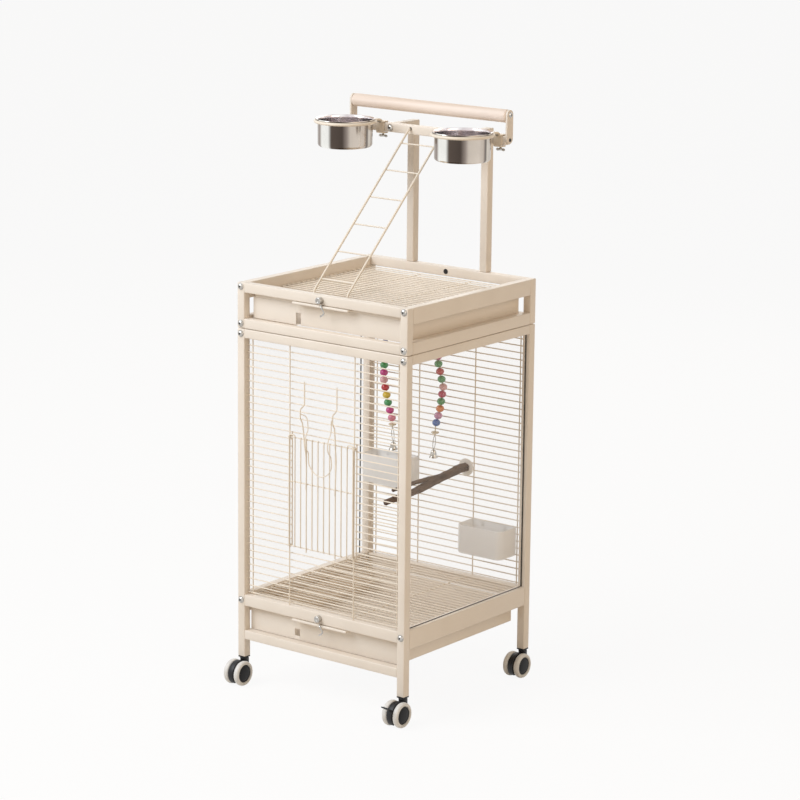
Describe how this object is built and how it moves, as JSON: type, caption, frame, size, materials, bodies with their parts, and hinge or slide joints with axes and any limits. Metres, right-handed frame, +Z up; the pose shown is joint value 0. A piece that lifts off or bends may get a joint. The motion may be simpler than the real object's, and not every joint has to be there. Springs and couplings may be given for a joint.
{
  "type": "parrot cage",
  "caption": "Tall parrot cage on casters with clear sides, lift-up wire door, two pull-out trays and a play stand with dowel, ladder and steel cups.",
  "frame": {"origin": "on the floor under the middle of the overall box", "axes": "+Z up, +Y to the back, +X to the right as seen from the front"},
  "size_m": [0.472, 0.4962, 1.24],
  "materials": {
    "cream_paint": "smooth cream powder coat",
    "cream_wire": "cream powder coat on wire",
    "tray_paint": "cream powder coat on folded sheet",
    "clear_sheet": "clear acrylic sheet",
    "polished_steel": "polished stainless steel",
    "zinc_plate": "bright zinc plate",
    "bell_metal": "nickel plate",
    "milky_plastic": "translucent plastic",
    "bead_paint": "lacquered wooden beads",
    "pale_wood": "plain sanded wood",
    "bark": "natural branch with bark",
    "black_plastic": "moulded black plastic",
    "pale_tread": "off-white tread with black hub caps"
  },
  "bodies": {
    "cage": {"front_frame": "cream_paint", "rear_frame": "cream_paint", "module_front_frame": "cream_paint", "module_rear_frame": "cream_paint", "side_rail_bottom_left": "cream_paint", "side_rail_bottom_right": "cream_paint", "side_rail_top_left": "cream_paint", "side_rail_top_right": "cream_paint", "module_side_rail_left": "cream_paint", "module_side_rail_right": "cream_paint", "module_side_plate_left": "cream_paint", "module_side_plate_right": "cream_paint", "front_wire_panel": "cream_wire", "back_wire_panel": "cream_wire", "floor_grille": "cream_wire", "top_grille": "cream_wire", "clear_panel_left": "clear_sheet", "clear_panel_right": "clear_sheet", "stand_post_left": "cream_paint", "stand_post_right": "cream_paint", "cross_tube": "cream_paint", "dowel_bracket_left": "cream_paint", "dowel_bracket_right": "cream_paint", "dowel": "pale_wood", "cup_ring_left": "cream_wire", "cup_ring_right": "cream_wire", "perch_washer": "zinc_plate", "branch_perch": "bark"},
    "swivel_front_left": {"caster_hood_front_left": "black_plastic"},
    "wheels_front_left": {"caster_wheels_front_left": "pale_tread"},
    "swivel_front_right": {"caster_hood_front_right": "black_plastic"},
    "wheels_front_right": {"caster_wheels_front_right": "pale_tread"},
    "swivel_rear_left": {"caster_hood_rear_left": "black_plastic"},
    "wheels_rear_left": {"caster_wheels_rear_left": "pale_tread"},
    "swivel_rear_right": {"caster_hood_rear_right": "black_plastic"},
    "wheels_rear_right": {"caster_wheels_rear_right": "pale_tread"},
    "lever_front_right": {"brake_lever_front_right": "black_plastic"},
    "lever_rear_left": {"brake_lever_rear_left": "black_plastic"},
    "door": {"door": "cream_wire"},
    "upper_tray": {"upper_tray": "tray_paint"},
    "lower_drawer": {"lower_drawer": "tray_paint"},
    "upper_latch": {"upper_tray_latch": "zinc_plate"},
    "lower_latch": {"lower_drawer_latch": "zinc_plate"},
    "steel_cup_left": {"steel_cup_left": "polished_steel"},
    "wing_screw_left": {"wing_screw_left": "zinc_plate"},
    "feeding_cup_left": {"feeding_cup_left": "milky_plastic"},
    "bead_string_left": {"bead_string_left": "bead_paint"},
    "bell_left": {"bell_left": "bell_metal"},
    "steel_cup_right": {"steel_cup_right": "polished_steel"},
    "wing_screw_right": {"wing_screw_right": "zinc_plate"},
    "feeding_cup_right": {"feeding_cup_right": "milky_plastic"},
    "bead_string_right": {"bead_string_right": "bead_paint"},
    "bell_right": {"bell_right": "bell_metal"},
    "ladder": {"ladder": "cream_wire"}
  },
  "joints": [
    {"name": "swivel_front_left", "type": "hinge", "parent": "cage", "child": "swivel_front_left", "pos_m": [-0.2155, -0.18636, 0.06], "axis": [0, 0, 1], "continuous": true},
    {"name": "roll_front_left", "type": "hinge", "parent": "swivel_front_left", "child": "wheels_front_left", "pos_m": [-0.2155, -0.20636, 0.027], "axis": [1, 0, 0], "continuous": true},
    {"name": "swivel_front_right", "type": "hinge", "parent": "cage", "child": "swivel_front_right", "pos_m": [0.2155, -0.18636, 0.06], "axis": [0, 0, 1], "continuous": true},
    {"name": "roll_front_right", "type": "hinge", "parent": "swivel_front_right", "child": "wheels_front_right", "pos_m": [0.2155, -0.20636, 0.027], "axis": [1, 0, 0], "continuous": true},
    {"name": "brake_front_right", "type": "hinge", "parent": "swivel_front_right", "child": "lever_front_right", "pos_m": [0.2155, -0.23035, 0.04085], "axis": [1, 0, 0], "range_deg": [0, 20]},
    {"name": "swivel_rear_left", "type": "hinge", "parent": "cage", "child": "swivel_rear_left", "pos_m": [-0.2155, 0.23864, 0.06], "axis": [0, 0, 1], "continuous": true},
    {"name": "roll_rear_left", "type": "hinge", "parent": "swivel_rear_left", "child": "wheels_rear_left", "pos_m": [-0.2155, 0.21864, 0.027], "axis": [1, 0, 0], "continuous": true},
    {"name": "brake_rear_left", "type": "hinge", "parent": "swivel_rear_left", "child": "lever_rear_left", "pos_m": [-0.2155, 0.19465, 0.04085], "axis": [1, 0, 0], "range_deg": [0, 20]},
    {"name": "swivel_rear_right", "type": "hinge", "parent": "cage", "child": "swivel_rear_right", "pos_m": [0.2155, 0.23864, 0.06], "axis": [0, 0, 1], "continuous": true},
    {"name": "roll_rear_right", "type": "hinge", "parent": "swivel_rear_right", "child": "wheels_rear_right", "pos_m": [0.2155, 0.21864, 0.027], "axis": [1, 0, 0], "continuous": true},
    {"name": "door_lift", "type": "slide", "parent": "cage", "child": "door", "axis": [0, 0, 1], "range_m": [0, 0.105]},
    {"name": "upper_tray_slide", "type": "slide", "parent": "cage", "child": "upper_tray", "axis": [0, -1, 0], "range_m": [0, 0.3]},
    {"name": "lower_drawer_slide", "type": "slide", "parent": "cage", "child": "lower_drawer", "axis": [0, -1, 0], "range_m": [0, 0.3]},
    {"name": "upper_latch_turn", "type": "hinge", "parent": "upper_tray", "child": "upper_latch", "pos_m": [0.006, -0.20236, 0.8522], "axis": [0, -1, 0], "range_deg": [0, 90]},
    {"name": "lower_latch_turn", "type": "hinge", "parent": "lower_drawer", "child": "lower_latch", "pos_m": [0.006, -0.20236, 0.1712], "axis": [0, -1, 0], "range_deg": [0, 90]},
    {"name": "steel_cup_lift_left", "type": "slide", "parent": "cage", "child": "steel_cup_left", "axis": [0, 0, 1], "range_m": [0, 0.075]},
    {"name": "wing_screw_turn_left", "type": "hinge", "parent": "cage", "child": "wing_screw_left", "pos_m": [-0.125, 0.16614, 1.157], "axis": [0, 0, 1], "continuous": true},
    {"name": "feeding_cup_lift_left", "type": "slide", "parent": "cage", "child": "feeding_cup_left", "axis": [0, 0, 1], "range_m": [0, 0.03]},
    {"name": "bead_string_swing_left", "type": "hinge", "parent": "cage", "child": "bead_string_left", "pos_m": [-0.158, 0.23864, 0.7432], "axis": [1, 0, 0], "range_deg": [-20, 0]},
    {"name": "bell_swing_left", "type": "hinge", "parent": "bead_string_left", "child": "bell_left", "pos_m": [-0.1341, 0.22379, 0.46861], "axis": [1, 0, 0], "range_deg": [-25, 0]},
    {"name": "steel_cup_lift_right", "type": "slide", "parent": "cage", "child": "steel_cup_right", "axis": [0, 0, 1], "range_m": [0, 0.075]},
    {"name": "wing_screw_turn_right", "type": "hinge", "parent": "cage", "child": "wing_screw_right", "pos_m": [0.185, 0.16614, 1.157], "axis": [0, 0, 1], "continuous": true},
    {"name": "feeding_cup_lift_right", "type": "slide", "parent": "cage", "child": "feeding_cup_right", "axis": [0, 0, 1], "range_m": [0, 0.03]},
    {"name": "bead_string_swing_right", "type": "hinge", "parent": "cage", "child": "bead_string_right", "pos_m": [-0.02, 0.23864, 0.7432], "axis": [1, 0, 0], "range_deg": [-20, 0]},
    {"name": "bell_swing_right", "type": "hinge", "parent": "bead_string_right", "child": "bell_right", "pos_m": [-0.0226, 0.22379, 0.46861], "axis": [1, 0, 0], "range_deg": [-25, 0]},
    {"name": "ladder_lift", "type": "slide", "parent": "cage", "child": "ladder", "axis": [0, -0.2425, 0.9701], "range_m": [0, 0.06]}
  ]
}
